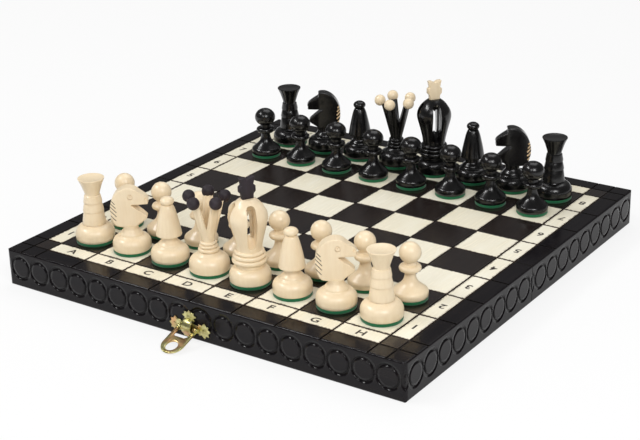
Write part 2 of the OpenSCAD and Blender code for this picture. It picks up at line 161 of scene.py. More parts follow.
def tone(red, green, blue):
    linear = [((v / 255 + 0.055) / 1.055) ** 2.4 if v > 10 else v / 255 / 12.92 for v in (red, green, blue)]
    return (*linear, 1.0)


# ---- finishes
# skin is how deep a point may lie and still count as part of the box's outer faces
board = {"pitch": 30.25 * mm, "inner": 133 * mm, "half": 145 * mm, "height": 24 * mm, "skin": 0.9 * mm}

menWood = {
    "white": {"light": tone(242, 223, 190), "dark": tone(235, 213, 177), "roughness": 0.34, "coat": 0.35},
    "black": {"light": tone(7, 6, 7), "dark": tone(13, 12, 12), "roughness": 0.24, "coat": 0.2},
    "tip": {"light": tone(44, 33, 42), "dark": tone(30, 22, 26), "roughness": 0.6, "coat": 0.0},
}


def menFinish(side):
    kit = menWood[side]
    f = Finish(side + "MenLacquer")
    grain = f.noise(f.place((1, 1, 0.1)), 620, 4, 0.6)
    cloud = f.noise(f.place(), 90, 2)
    pores = f.noise(f.place((1, 1, 0.25)), 3200, 2, 0.7)
    share = f.ease(grain * 0.6 + cloud * 0.4, 0.36, 0.68)
    return f.paint(
        colour=f.mix(share, kit["light"], kit["dark"]),
        roughness=kit["roughness"] + (grain - 0.5) * 0.12,
        normal=f.relief(pores * 0.6 + grain * 0.4, 0.03 * mm, 0.5),
        coat=kit["coat"], coatRoughness=0.2,
    )


feltDye = {"light": tone(14, 118, 70), "dark": tone(5, 78, 46)}


def feltFinish():
    f = Finish("greenFelt")
    fibres = f.noise(f.place(), 2600, 4, 0.75)
    return f.paint(
        colour=f.mix(f.ease(fibres, 0.3, 0.7), feltDye["dark"], feltDye["light"]),
        roughness=0.95, sheen=0.3, normal=f.relief(fibres, 0.25 * mm, 0.8),
    )


def gridLines(f, width):
    # distance to the nearest burnt line along X and along Y, as a 0 to 1 mask
    masks = []
    for axis in f.axes()[:2]:
        near = abs(f.fraction(axis * (1 / board["pitch"]) + 0.5) - 0.5) * board["pitch"]
        near = near.least(abs(abs(axis) - board["inner"]))
        masks.append(near < width / 2)
    return masks[0].most(masks[1])


veneer = {
    "cream": {"light": tone(247, 242, 224), "dark": tone(234, 225, 198), "roughness": 0.26, "coat": 0.2},
    "black": {"light": tone(24, 18, 17), "dark": tone(40, 31, 27), "roughness": 0.24, "coat": 0.05},
    "scorch": tone(52, 31, 21), "walls": 1.3 * mm, "singed": 2.6 * mm,
}


def veneerFinish(side):
    kit = veneer[side]
    f = Finish(side + "Veneer")
    steps = f.node("ShaderNodeVectorMath", {"operation": "FLOOR"}, [f.place((1 / board["pitch"],) * 3)])
    eachSquare = f.node("ShaderNodeTexWhiteNoise", {}, {"Vector": steps})
    grain = f.noise(f.place((1, 0.05, 1)), 850, 5, 0.65)
    figure = f.noise(f.place((1, 0.3, 1)), 110, 3)
    share = f.ease(grain * 0.55 + figure * 0.3 + eachSquare * 0.15, 0.34, 0.7)
    wood = f.mix(share, kit["light"], kit["dark"])
    ragged = f.ease(f.noise(f.place(), 900, 2), 0.42, 0.62)
    edge = gridLines(f, veneer["walls"]).most(gridLines(f, veneer["singed"]) * ragged * 0.85)
    waves = f.noise(f.place(), 55, 1)
    return f.paint(
        colour=f.mix(edge, wood, veneer["scorch"] if side == "cream" else kit["light"]),
        roughness=kit["roughness"] + (grain - 0.5) * 0.14 + edge * 0.2,
        normal=f.relief(grain * 0.15 + waves * 0.85, 0.05 * mm, 0.6),
        coat=kit["coat"], coatRoughness=0.1,
    )


rings = {"pitch": 284 / 9 * mm, "space": 7.75 * mm, "sidePitch": 139 / 9 * mm, "margin": 142 * mm,
         "height": 13.2 * mm, "radius": 7.0 * mm, "soft": 1.7 * mm}


def ringRelief(f, x, y, z):
    # pressed rings, in pairs along X and singly along Y: a height that falls to 0 in the middle of each groove
    across = abs((f.fraction(x * (1 / rings["pitch"]) + 0.5) - 0.5) * rings["pitch"]) - rings["space"]
    along = (f.fraction((rings["margin"] - abs(y)) * (1 / rings["sidePitch"])) - 0.5) * rings["sidePitch"]
    onFront = abs(y) > board["half"] - board["skin"]
    off = onFront * across + (1 - onFront) * along
    up = z - rings["height"]
    radius = f.node("ShaderNodeMath", {"operation": "SQRT"}, [off * off + up * up])
    away = abs(radius - rings["radius"])
    return f.ease(away, 0.0, rings["soft"], "SMOOTHSTEP")


rail = {"light": tone(14, 12, 16), "dark": tone(26, 22, 23), "burnt": tone(16, 11, 9), "roughness": 0.17,
        "cutWidth": 1.4 * mm, "cutDepth": 0.75 * mm, "ringDepth": 1.3 * mm}


def railFinish(name, stretch):
    f = Finish(name)
    x, y, z = f.axes()
    grain = f.noise(f.place(stretch), 700, 5, 0.65)
    figure = f.noise(f.place(stretch), 120, 3)
    wood = f.mix(f.ease(grain * 0.6 + figure * 0.4, 0.36, 0.68), rail["light"], rail["dark"])
    cut = gridLines(f, rail["cutWidth"]) * (z > board["height"] - rail["cutDepth"])
    waves = f.noise(f.place(), 70, 2)
    inside = board["half"] - board["skin"]
    onSides = 1 - (abs(x) < inside) * (abs(y) < inside)
    pressed = 1 - onSides * (1 - ringRelief(f, x, y, z))
    return f.paint(
        colour=f.mix(cut, f.mix(pressed * 0.25 + 0.75, rail["burnt"], wood), rail["burnt"]),
        roughness=rail["roughness"] + (grain - 0.5) * 0.16 + cut * 0.35,
        normal=f.relief(pressed + (1 - cut) * 0.6 + grain * 0.02 + waves * 0.04, rail["ringDepth"]),
        specular=0.22,
    )


panel = {"light": tone(214, 184, 138), "dark": tone(178, 140, 94), "burnt": tone(34, 22, 15),
         "ply": 1.15 * mm, "burntDepth": 0.8 * mm}


def panelFinish():
    f = Finish("panelPly")
    z = f.axes()[2]
    grain = f.noise(f.place((1, 0.06, 1)), 420, 5, 0.7)
    figure = f.noise(f.place((1, 0.2, 1)), 45, 3)
    wood = f.mix(f.ease(grain * 0.6 + figure * 0.4, 0.35, 0.68), panel["light"], panel["dark"])
    plies = f.fraction(z * (1 / panel["ply"])) > 0.5
    wood = f.mix(plies * 0.25, wood, panel["dark"])
    return f.paint(
        colour=f.mix(z > board["height"] - panel["burntDepth"], wood, panel["burnt"]),
        roughness=0.62 + (grain - 0.5) * 0.2, normal=f.relief(grain, 0.08 * mm, 0.7),
    )


metal = {
    "brass": {"light": tone(222, 216, 158), "dark": tone(168, 160, 92), "blush": tone(226, 182, 132),
              "roughness": 0.3},
    "steel": {"light": tone(205, 205, 205), "dark": tone(150, 150, 152), "blush": tone(190, 186, 180),
              "roughness": 0.35},
}


def metalFinish(name):
    kit = metal[name]
    f = Finish(name + "Plate")
    tarnish = f.noise(f.place(), 260, 3, 0.55)
    clouds = f.noise(f.place(), 130, 1)
    brushed = f.noise(f.place((0.08, 1, 1)), 4200, 3, 0.6)
    plated = f.mix(f.ease(tarnish, 0.35, 0.7), kit["light"], kit["dark"])
    return f.paint(
        colour=f.mix(f.ease(clouds, 0.52, 0.68), plated, kit["blush"]), metallic=1.0,
        roughness=kit["roughness"] + (tarnish - 0.5) * 0.12 + (brushed - 0.5) * 0.06,
        normal=f.relief(brushed * 0.3 + tarnish * 0.7, 0.03 * mm, 0.4),
    )


# dark finish: real burnt ink on the letters and numbers, and painted shade on the faces of the cuts in white's mane
inkAndCutShade = {"dark": tone(24, 16, 12), "light": tone(46, 31, 23)}


def inkAndCutShadeFinish():
    f = Finish("burntInkAndCutShade")
    grit = f.noise(f.place(), 1800, 3, 0.7)
    return f.paint(colour=f.mix(f.ease(grit, 0.3, 0.7), inkAndCutShade["dark"], inkAndCutShade["light"]), roughness=0.6)


finishes = {
    "white": menFinish("white"), "black": menFinish("black"), "tip": menFinish("tip"), "felt": feltFinish(),
    "cream": veneerFinish("cream"), "dark": veneerFinish("black"),
    "railX": railFinish("blackRailAcross", (0.05, 1, 1)), "railY": railFinish("blackRailAlong", (1, 0.05, 1)),
    "panel": panelFinish(), "brass": metalFinish("brass"), "steel": metalFinish("steel"), "inkAndCutShade": inkAndCutShadeFinish(),
}
print("finishes:", len(finishes))

nodeFinish = {
    "rail": "railX", "spine_rail": "railX", "left_rail": "railY", "right_rail": "railY", "panel": "panel",
    "light_squares": "cream", "border_cells": "cream", "dark_squares": "dark",
    "hinge_leaves": "brass", "hinge_screws": "brass",
}


def finishNode(node, finish):
    slots = nodes[node].data.materials
    slots.clear()
    slots.append(finishes[finish])


for half in ("front", "back"):
    for part, finish in nodeFinish.items():
        finishNode(half + "_" + part, finish)
for node in ("clasp_plate", "clasp_nails", "clasp_bail", "keeper_plate", "keeper_nails"):
    finishNode(node, "brass")
finishNode("hinge_pins", "steel")
print("board nodes finished")


# ---- pieces: they stay at the origin and ride on a body of the frame
def addPiece(name, mesh, used, body, node=None):
    for finish in used:
        mesh.materials.append(finishes[finish])
    piece = bpy.data.objects.new(name, mesh)
    bpy.context.scene.collection.objects.link(piece)
    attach(piece, body)
    if node:
        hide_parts(node)


# ---- men: outlines are (radius, height) in mm above the square
feltHeight = 1.9
footForm = {"lip": 3.8, "middle": 5.8, "end": 76}


def arc(radius, height, size, start, end, steps=10):
    turns = [math.radians(start + (end - start) * i / steps) for i in range(steps + 1)]
    return [(radius + size * math.cos(a), height + size * math.sin(a)) for a in turns]


def oval(height, size, rise, start, end, steps=16):
    turns = [math.radians(start + (end - start) * i / steps) for i in range(steps + 1)]
    return [(size * math.cos(a), height + rise * math.sin(a)) for a in turns]


def flare(r0, z0, r1, z1, steps=14):
    return [(r1 + (r0 - r1) * (1 + math.cos(math.pi * i / steps)) / 2, z0 + (z1 - z0) * i / steps)
            for i in range(steps + 1)]


def bead(radius, height, size):
    return arc(radius - size / 2, height + size / 2, size / 2, -90, 90, 8)


def step(radius, height, width=0.8, depth=0.5):
    # a cut with a worn lower lip, so that the band above it casts a line
    return [(radius - 0.12, height - width), (radius - depth, height - width * 0.3), (radius - depth, height),
            (radius + 0.08, height + 0.1), (radius + 0.05, height + 0.9)]


def foot(radius, bulge):
    start = [(radius - 0.6, feltHeight), (radius - 0.1, feltHeight + 0.5), (radius, footForm["lip"])]
    return start + arc(radius - bulge, footForm["middle"], bulge, 0, footForm["end"], 14)


def softened(points, rounds=2):
    # corner cutting, so that a few points give a smooth line
    for _ in range(rounds):
        cut = [points[0]]
        for a, b in zip(points, points[1:]):
            cut += [tuple((1 - t) * p + t * q for p, q in zip(a, b)) for t in (0.25, 0.75)]
        points = cut + [points[-1]]
    return points


def lathe(outline, steps=56):
    b = bmesh.new()
    line = [(0.0, outline[0][1])] + list(outline)
    if line[-1][0] > 0.001:
        line.append((0.0, line[-1][1]))
    dots = [b.verts.new((r * mm, 0, z * mm)) for r, z in line]
    for one, two in zip(dots, dots[1:]):
        b.edges.new((one, two))
    bmesh.ops.spin(b, geom=b.verts[:] + b.edges[:], cent=(0, 0, 0), axis=(0, 0, 1),
                   angle=2 * math.pi, steps=steps, use_merge=True)
    bmesh.ops.remove_doubles(b, verts=b.verts[:], dist=1e-6)
    bmesh.ops.recalc_face_normals(b, faces=b.faces[:])
    return b


def plate(outline, thickness, rounding=0.0, segments=3):
    # an upright outline in the XZ plane, extruded to both sides of it
    b = bmesh.new()
    face = b.faces.new([b.verts.new((x * mm, -thickness / 2 * mm, z * mm)) for x, z in outline])
    grown = bmesh.ops.extrude_face_region(b, geom=[face])
    moved = [v for v in grown["geom"] if isinstance(v, bmesh.types.BMVert)]
    bmesh.ops.translate(b, verts=moved, vec=(0, thickness * mm, 0))
    bmesh.ops.recalc_face_normals(b, faces=b.faces[:])
    if rounding:
        rims = [e for e in b.edges if abs(e.verts[0].co.y - e.verts[1].co.y) < 1e-7]
        bmesh.ops.bevel(b, geom=rims, offset=rounding * mm, segments=segments, profile=0.5,
                        affect="EDGES", material=-1)
    return b


def ball(radius, x, z, segments=28, stretch=(1, 1, 1)):
    b = bmesh.new()
    bmesh.ops.create_uvsphere(b, u_segments=segments, v_segments=segments // 2, radius=radius * mm)
    bmesh.ops.scale(b, verts=b.verts[:], vec=stretch)
    bmesh.ops.translate(b, verts=b.verts[:], vec=(x * mm, 0, z * mm))
    return b


def turnPart(b, degrees, axis="Z"):
    bmesh.ops.rotate(b, verts=b.verts[:], cent=(0, 0, 0), matrix=Matrix.Rotation(math.radians(degrees), 3, axis))
    return b


def movePart(b, x, y, z):
    bmesh.ops.translate(b, verts=b.verts[:], vec=(x * mm, y * mm, z * mm))
    return b


def dye(b, slot):
    for face in b.faces:
        face.material_index = slot
    return b


def shaped(b, modifiers, cutters=()):
    # runs b through modifiers, with the cutters as helpers, and gives the result back as a bmesh
    made = []
    for part in (b, *cutters):
        mesh = bpy.data.meshes.new("shaping")
        part.to_mesh(mesh)
        part.free()
        made.append(bpy.data.objects.new("shaping", mesh))
        bpy.context.scene.collection.objects.link(made[-1])
    for _ in range(4):
        # a cut keeps the faces' slot numbers only where the object has those slots
        made[0].data.materials.append(finishes["inkAndCutShade"])
    for cutter in made[1:]:
        cut = made[0].modifiers.new("cut", "BOOLEAN")
        cut.operation, cut.solver, cut.object = "DIFFERENCE", "EXACT", cutter
    for kind, settings in modifiers:
        modifier = made[0].modifiers.new("shape", kind)
        for key, value in settings.items():
            setattr(modifier, key, value)
    bpy.context.view_layer.update()
    done = made[0].evaluated_get(bpy.context.evaluated_depsgraph_get())
    b = bmesh.new()
    b.from_mesh(done.to_mesh())
    done.to_mesh_clear()
    for o in made:
        mesh = o.data
        bpy.data.objects.remove(o)
        bpy.data.meshes.remove(mesh)
    return b


def rounded(b, grain, steps):
    # even small faces, smoothed until the sharp edges are worn round
    return shaped(b, [("REMESH", {"mode": "VOXEL", "voxel_size": grain * mm}),
                      ("SMOOTH", {"factor": 0.5, "iterations": steps})])


def worn(width):
    return [("BEVEL", {"width": width * mm, "segments": 2, "limit_method": "ANGLE",
                       "angle_limit": math.radians(38)})]


def assemble(parts):
    # parts are (bmesh, slot): 0 the wood, 1 the felt, 2 the tips, 3 the cuts, None as dyed
    whole = bmesh.new()
    for b, slot in parts:
        if slot is not None:
            dye(b, slot)
        mesh = bpy.data.meshes.new("part")
        b.to_mesh(mesh)
        b.free()
        whole.from_mesh(mesh)
        bpy.data.meshes.remove(mesh)
    for face in whole.faces:
        face.smooth = True
    for edge in whole.edges:
        if len(edge.link_faces) == 2 and edge.calc_face_angle(0) > math.radians(42):
            edge.smooth = False
    return whole


def feltDisc(radius):
    rim = ((0.5, 0.0), (0.22, 0.3), (0.15, 1.0), (0.25, 1.6), (0.4, feltHeight))
    return lathe([(radius - cut, z) for cut, z in rim])


def dimple(top):
    # black's knobs end in a small pit, where they came off the lathe
    return [(2.2, top - 0.32), (1.7, top - 0.42), (1.2, top - 0.8), (0.6, top - 1.3), (0, top - 1.5)]


pawnForm = {"foot": {"white": 10.6, "black": 10.3}, "size": {"white": 6.4, "black": 7.2}, "middle": 28.5, "rise": 6.3,
            "collar": (6.5, 17.4, 3.7), "neck": [(6.2, 9.0), (4.7, 10.6), (3.8, 12.4), (3.3, 14.4), (3.1, 16.4)]}


def pawn(side):
    k = pawnForm
    radius, top = k["foot"][side], k["middle"] + k["rise"]
    knob = oval(k["middle"], k["size"][side], k["rise"], -60, 90 if side == "white" else 68, 24)
    wood = lathe(
        [(radius - 0.5, feltHeight), (radius - 0.1, feltHeight + 0.4), (radius, 3.4)]
        + arc(radius - 2.4, 4.4, 2.4, 0, 58, 8) + softened([(radius - 2.0, 7.2)] + k["neck"], 2)
        + [(3.2, 17.2)] + bead(*k["collar"]) + [(3.6, 21.4)] + knob + (dimple(top) if side == "black" else [])
    )
    return [(wood, 0), (feltDisc(radius), 1)]


rookForm = {
    "foot": 12.3, "bulge": 5.6, "grooves": ((7.25, 12.4), (6.45, 20.4), (5.75, 26)),
    "head": [(5.1, 30.6), (4.55, 31), (4.75, 32.2), (5.35, 34.2), (6.6, 38), (8.1, 41.2)],
    "rim": [(8.3, 41.6), (8.2, 41.95), (7.8, 42), (7.0, 41.9), (6.4, 41.7), (0, 41.6)],
}


def rook(side):
    k = rookForm
    low, middle, high = k["grooves"]
    body = [(7.6, 11.5)] + step(*low) + step(*middle) + step(*high)
    wood = lathe(foot(k["foot"], k["bulge"]) + body + k["head"] + k["rim"])
    return [(wood, 0), (feltDisc(k["foot"]), 1)]


bishopForm = {"foot": 11.7, "bulge": 4.6, "knob": (38.9, 4.3, 2.8),
              "robe": [(7.9, 17.8), (7.5, 20.5), (6.8, 24.5), (5.7, 29.5), (4.6, 34), (3.5, 36.4)]}


def bishop(side):
    k = bishopForm
    height, size, rise = k["knob"]
    knob = oval(height, size, rise, -50, 90 if side == "white" else 66, 16)
    wood = lathe(
        foot(k["foot"], k["bulge"]) + [(7.7, 10.8), (7.5, 11.1)] + flare(7.2, 11.2, 4.9, 14.4, 8)
        + [(4.8, 17.1), (7.3, 17.2), (7.75, 17.4)] + softened(k["robe"], 1) + knob
        + (dimple(height + rise) if side == "black" else [])
    )
    return [(wood, 0), (feltDisc(k["foot"]), 1)]


knightForm = {
    "foot": 11.9, "bulge": 4.8, "thick": 8.5, "snout": 0.62, "eye": (1.2, 36.6), "eyeSize": 1.75,
    "nostril": (10.2, 35.0), "width": 0.92, "back": -0.6, "voxel": 0.32, "smoothing": 14,
    "neck": [(-3.2, 17.2), (-8, 17.4), (-10, 19.8), (-11.4, 23.4), (-12, 27.4), (-11.7, 31.4), (-10.4, 35.4),
             (-8.2, 38.8)],
    "crest": {"white": [(-5.2, 40.7), (-1.8, 42.1), (1.8, 42.3), (5.2, 41.2)],
              "black": [(-5.2, 41.6), (-1.8, 43.3), (1.6, 43.9), (4.8, 43.4), (5.2, 42.6), (4.2, 40.9)]},
    "face": [(7.6, 39.3), (11.2, 37.3), (13.2, 35.6), (13.7, 34.2), (12.8, 33.2), (13.5, 32.2), (13.2, 31.2),
             (9.6, 31.2), (5.2, 31.4), (1.4, 31.4)],
    "chest": [(1.4, 31.4), (5.6, 28.6), (9.4, 26), (12.2, 23.8), (12.5, 22.6), (11, 21), (7.4, 19.2), (4.6, 17.2)],
    # the mane's cuts: (width, length, depth, place along X), then how they are turned and stacked
    "cuts": {"white": (0.42, 5.6, 1.1, -9.4), "black": (0.9, 4.6, 2.2, -10.3)},
    "cutTurn": 48, "cutStart": 23.4, "cutRise": 2.7, "cutCount": 5,
}


def knightCutters(side):
    k = knightForm
    width, length, depth, back = k["cuts"][side]
    outer, inner = k["eyeSize"], k["eyeSize"] - 0.5
    cutters = []
    for face in (-1, 1):
        flat = face * k["thick"] / 2
        for i in range(k["cutCount"]):
            b = bmesh.new()
            bmesh.ops.create_cube(b, size=1.0)
            bmesh.ops.scale(b, verts=b.verts[:], vec=(length * mm, depth * mm, width * mm))
            turnPart(b, k["cutTurn"], "Y")
            movePart(b, back - 0.35 * abs(i - 1.6), flat, k["cutStart"] + k["cutRise"] * i)
            # slot 3: on white knights these cut faces are painted dark as shade in the cuts
            cutters.append(dye(b, 3))
        ring = lathe([(inner, -0.6), (outer, -0.6), (outer, 0.6), (inner, 0.6)], 28)
        eye = shaped(ring, [], [lathe([(inner, -0.7), (inner, 0.7)], 28)])
        cutters.append(movePart(turnPart(eye, 90, "X"), k["eye"][0], flat, k["eye"][1]))
        cutters.append(movePart(ball(0.5, 0, 0, 12), k["eye"][0], flat, k["eye"][1]))
        cutters.append(movePart(ball(0.75, 0, 0, 12), k["nostril"][0], flat * k["snout"], k["nostril"][1]))
    return cutters


def knight(side):
    k = knightForm
    outline = softened(k["neck"] + k["crest"][side] + k["face"], 1) + softened(k["chest"], 1)[1:]
    head = plate([(x * k["width"] + k["back"], z) for x, z in outline], k["thick"])
    head = rounded(head, k["voxel"], k["smoothing"])
    # the snout and the chest thin out towards the front
    for v in head.verts:
        ahead = min(max((v.co.x / mm - 2.5) / 9, 0), 1)
        v.co.y *= 1 - (1 - k["snout"]) * ahead * ahead * (3 - 2 * ahead)
    head = shaped(head, [], knightCutters(side))
    neck = [(7.7, 10.9), (7.5, 11.2)] + flare(7.1, 11.2, 4.6, 15.6, 8) + [(4.9, 17.8)]
    wood = lathe(foot(k["foot"], k["bulge"]) + neck)
    return [(wood, 0), (head, None), (feltDisc(k["foot"]), 1)]


queenForm = {"foot": 12.3, "bulge": 6.0, "prongs": 5, "notch": (3.8, 28.8, 46.6), "ball": (3.85, 11.2, 47.0),
             "trumpet": [(4, 20.2), (4.1, 21.2), (4.4, 22.5), (10.4, 45.6), (8, 45.6), (1.4, 25.6), (0, 25.2)]}


def queen(side):
    k = queenForm
    wood = lathe(
        foot(k["foot"], k["bulge"]) + [(6.4, 13.2), (6.2, 13.5)] + bead(6.5, 13.6, 2.4) + bead(5.7, 16, 2.1)
        + bead(5.1, 18.1, 1.9) + k["trumpet"], 60
    )
    width, low, high = k["notch"]
    cutters = []
    for i in range(k["prongs"]):
        wedge = movePart(plate([(0, low), (width, high), (-width, high)], 24), 0, 12, 0)
        cutters.append(turnPart(wedge, 360 / k["prongs"] * (i + 0.5) - 90))
    wood = shaped(wood, worn(0.35), cutters)
    balls = [(turnPart(ball(*k["ball"]), 360 / k["prongs"] * i), 2) for i in range(k["prongs"])]
    return [(wood, 0), (feltDisc(k["foot"]), 1)] + balls


kingForm = {
    "foot": 12.4, "bulge": 5.4, "slots": 4, "slot": (14.6, 6.2), "slotAt": (13, 37.4),
    "crossThick": 4.0, "crossTurn": 55,
    "crown": [(7.6, 21.6), (7.8, 24.5), (8.7, 28.5), (9.8, 33), (11.2, 38), (11.8, 41.2), (11.5, 44.2), (10.4, 47),
              (8.5, 49.6), (6.4, 51.6), (4.3, 53.1)],
    "cross": [(-3.4, 53.1), (3.4, 53.1), (3.6, 56), (4.9, 57.4), (4.9, 60.6), (3.6, 61.6), (4.6, 66), (2.2, 66),
              (0, 64.8), (-2.2, 66), (-4.6, 66), (-3.6, 61.6), (-4.9, 60.6), (-4.9, 57.4), (-3.6, 56)],
}


def king(side):
    k = kingForm
    wood = lathe(
        foot(k["foot"], k["bulge"]) + [(8.6, 12.2), (8.4, 12.7)] + bead(10.6, 13.8, 2.8) + bead(9.9, 16.6, 2.6)
        + bead(9, 19.2, 2.2) + softened(k["crown"], 2), 64
    )
    radius, width = k["slot"]
    wheel = [(radius - 2.2, -width * 0.42), (radius - 0.7, -width * 0.33), (radius, -width * 0.16)]
    cutters = []
    for i in range(k["slots"]):
        # a milling wheel with a rounded rim
        cutter = lathe([(0, -width / 2)] + wheel + [(r, -z) for r, z in reversed(wheel)] + [(0, width / 2)], 60)
        cutter = movePart(turnPart(cutter, 90, "X"), k["slotAt"][0], 0, k["slotAt"][1])
        cutters.append(turnPart(cutter, 360 / k["slots"] * (i + 0.5)))
    wood = shaped(wood, worn(0.3), cutters)
    cross = turnPart(plate(k["cross"], k["crossThick"], 0.3, 2), k["crossTurn"])
    return [(wood, 0), (feltDisc(k["foot"]), 1), (cross, 2)]


makers = {"pawn": pawn, "rook": rook, "knight": knight, "bishop": bishop, "queen": queen, "king": king}
models = {side: {kind: assemble(maker(side)) for kind, maker in makers.items()} for side in ("white", "black")}
# white's mane cuts take the dark finish as painted shade in the cuts; black's cuts show pale bare wood
trims = {"white": ["tip", "inkAndCutShade"], "black": ["white", "white"]}
print("men drawn:", {kind: len(b.faces) for kind, b in models["white"].items()})

files = "abcdefgh"
backRank = ["rook", "knight", "bishop", "queen", "king", "bishop", "knight", "rook"]
turns = {"knight": {"white": 34, "black": 214}, "queen": {"white": -94, "black": 134},
         "king": {"white": 5, "black": 177}}


def standMan(side, kind, column, row):
    node = side + "_" + kind + "_" + files[column]
    mesh = bpy.data.meshes.new(node)
    models[side][kind].to_mesh(mesh)
    turn = turns.get(kind, {"white": 0, "black": 180})[side]
    place = Vector(((column - 3.5) * board["pitch"], (row - 3.5) * board["pitch"], board["height"]))
    mesh.transform(Matrix.Translation(place) @ Matrix.Rotation(math.radians(turn), 4, "Z"))
    used = [side, "felt"] + trims[side]
    addPiece(node + ".turned", mesh, used, nodes[node]["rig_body"], node)


for column in range(8):
    standMan("white", backRank[column], column, 0)
    standMan("white", "pawn", column, 1)
    standMan("black", "pawn", column, 6)
    standMan("black", backRank[column], column, 7)
print("men standing")


# ---- clasp and keeper: stamped leaves, a rolled strap and a swinging bail
# all in mm; the pivot is (distance from the rail, height), the bail's lengths count from it
clasp = {
    "face": 145.0, "thick": 0.9, "edge": 0.28, "pivot": (2.5, 7.6), "slope": 18, "keeperHeight": 9.2,
    "root": [(2.8, -3.6)],
    "sideLeaf": [(3.4, -2.5), (6.0, -2.1), (7.0, -3.7), (8.8, -3.0), (10.7, -5.0), (12.0, -3.1), (13.9, -3.2),
                 (13.3, -1.5), (15.0, 0.0)],
    "topLeaf": [(2.7, 3.0), (2.3, 3.9), (4.0, 4.6), (3.2, 5.9), (5.4, 7.2), (3.4, 8.2), (3.5, 9.7), (1.7, 9.3),
                (0.0, 10.6)],
    "strap": [(-0.6, 4.9), (-1.5, 4.8), (-2.9, 4.0), (-4.0, 2.4), (-4.4, 0.6), (-4.1, -1.2), (-3.2, -2.6),
              (-2.2, -3.8), (-1.7, -5.2)],
    "strapThick": 0.75, "strapWidth": 6.6,
    "bailWidth": 15.0, "bailEnd": 14.0, "bailThick": 1.1, "arm": 2.7, "window": (8.0, 1.2), "hole": (3.8, 15.6),
    "eye": 1.5, "eyeEdge": 0.3, "pin": 0.75,
    "stud": [(2.3, 0.3), (2.1, 0.9), (1.6, 1.3), (1.6, 3.1), (1.9, 3.3), (2.0, 3.7), (1.9, 4.2), (1.5, 4.5),
             (0, 4.5)],
}


def mirrored(points):
    return points + [(-x, z) for x, z in reversed(points) if x > 0.001]


def leafOutline():
    side = clasp["sideLeaf"]
    right = side + [(x, -z) for x, z in reversed(side[:-1])]
    leaves = clasp["root"] + right + mirrored(clasp["topLeaf"])
    return leaves + [(-x, z) for x, z in reversed(clasp["root"] + right)]


def ribbon(path, thickness):
    # the closed outline of a bent strip
    one, two = [], []
    for i, (x, z) in enumerate(path):
        (x0, z0), (x1, z1) = path[max(i - 1, 0)], path[min(i + 1, len(path) - 1)]
        long = math.hypot(x1 - x0, z1 - z0)
        nx, nz = -(z1 - z0) / long * thickness / 2, (x1 - x0) / long * thickness / 2
        one.append((x + nx, z + nz))
        two.append((x - nx, z - nz))
    return one + two[::-1]


def addBrass(parts, name, node):
    mesh = bpy.data.meshes.new(name)
    assemble([(b, 0) for b in parts]).to_mesh(mesh)
    addPiece(name, mesh, ["brass"], nodes[node]["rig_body"], node)


def claspPlate():
    k = clasp
    height = k["pivot"][1]
    leaves = plate(leafOutline(), k["thick"], k["edge"], 2)
    strap = plate(ribbon(softened(k["strap"], 2), k["strapThick"]), k["strapWidth"], 0.2, 2)
    movePart(leaves, 0, -k["face"] - k["thick"] / 2, height)
    movePart(turnPart(strap, 90), 0, -k["face"], height)
    addBrass([leaves, strap], "claspLeaves", "clasp_plate")


def claspBail():
    # drawn flat with its pivot at the origin, then sloped to the table
    k = clasp
    half, arm = k["bailWidth"] / 2, k["arm"]
    inner = half - arm
    outline = [(half, 0.0)] + arc(0, -k["bailEnd"], half, 0, -180, 28) + [(-half, 0.0)]
    flat = plate(outline, k["bailThick"], 0.4, 3)
    radius, far = k["hole"]
    hole = movePart(turnPart(lathe([(radius, -2), (radius, 2)], 36), 90, "X"), 0, 0, -far)
    low, corner = k["window"]
    window = plate([(-inner, 2), (-inner, -low + corner), (-inner + corner, -low), (inner - corner, -low),
                    (inner, -low + corner), (inner, 2)], 4)
    parts = [shaped(flat, worn(0.3), [hole, window])]
    eye, edge = k["eye"], k["eyeEdge"]
    for start in (-half, inner):
        loop = lathe(softened([(eye - edge, 0), (eye, edge), (eye, arm - edge), (eye - edge, arm)], 1), 28)
        parts.append(movePart(turnPart(loop, 90, "Y"), start, 0, 0))
    pin = lathe([(k["pin"], 0), (k["pin"], 2 * inner)], 20)
    parts.append(movePart(turnPart(pin, 90, "Y"), -inner, 0, 0))
    out, up = k["pivot"]
    for b in parts:
        turnPart(b, -90 + k["slope"], "X")
        movePart(b, 0, -k["face"] - out, up)
    addBrass(parts, "claspBail", "clasp_bail")


def keeperPlate():
    k = clasp
    leaves = plate([(x, -z) for x, z in leafOutline()], k["thick"], k["edge"], 2)
    stud = lathe(k["stud"], 32)
    movePart(leaves, 0, k["face"] + k["thick"] / 2, k["keeperHeight"])
    movePart(turnPart(stud, -90, "X"), 0, k["face"], k["keeperHeight"])
    addBrass([leaves, stud], "keeperLeaves", "keeper_plate")


claspPlate()
claspBail()
keeperPlate()
print("clasp fitted")


# ---- letters and numbers, burnt into the pale border
marks = {"size": 7.4 * mm, "thick": 0.04 * mm, "stroke": 0.16 * mm, "strip": 127 * mm, "spread": 1.15}


def markMesh(text):
    curve = bpy.data.curves.new("mark", "FONT")
    curve.body, curve.size, curve.extrude = text, marks["size"], marks["thick"]
    curve.align_x = curve.align_y = "CENTER"
    curve.offset = marks["stroke"]
    letter = bpy.data.objects.new("mark", curve)
    bpy.context.scene.collection.objects.link(letter)
    bpy.context.view_layer.update()
    mesh = bpy.data.meshes.new_from_object(letter)
    bpy.data.objects.remove(letter)
    bpy.data.curves.remove(curve)
    return mesh


def middleOf(mesh):
    corners = [Vector((pick(v.co.x for v in mesh.vertices), pick(v.co.y for v in mesh.vertices), 0))
               for pick in (min, max)]
    return (corners[0] + corners[1]) / 2


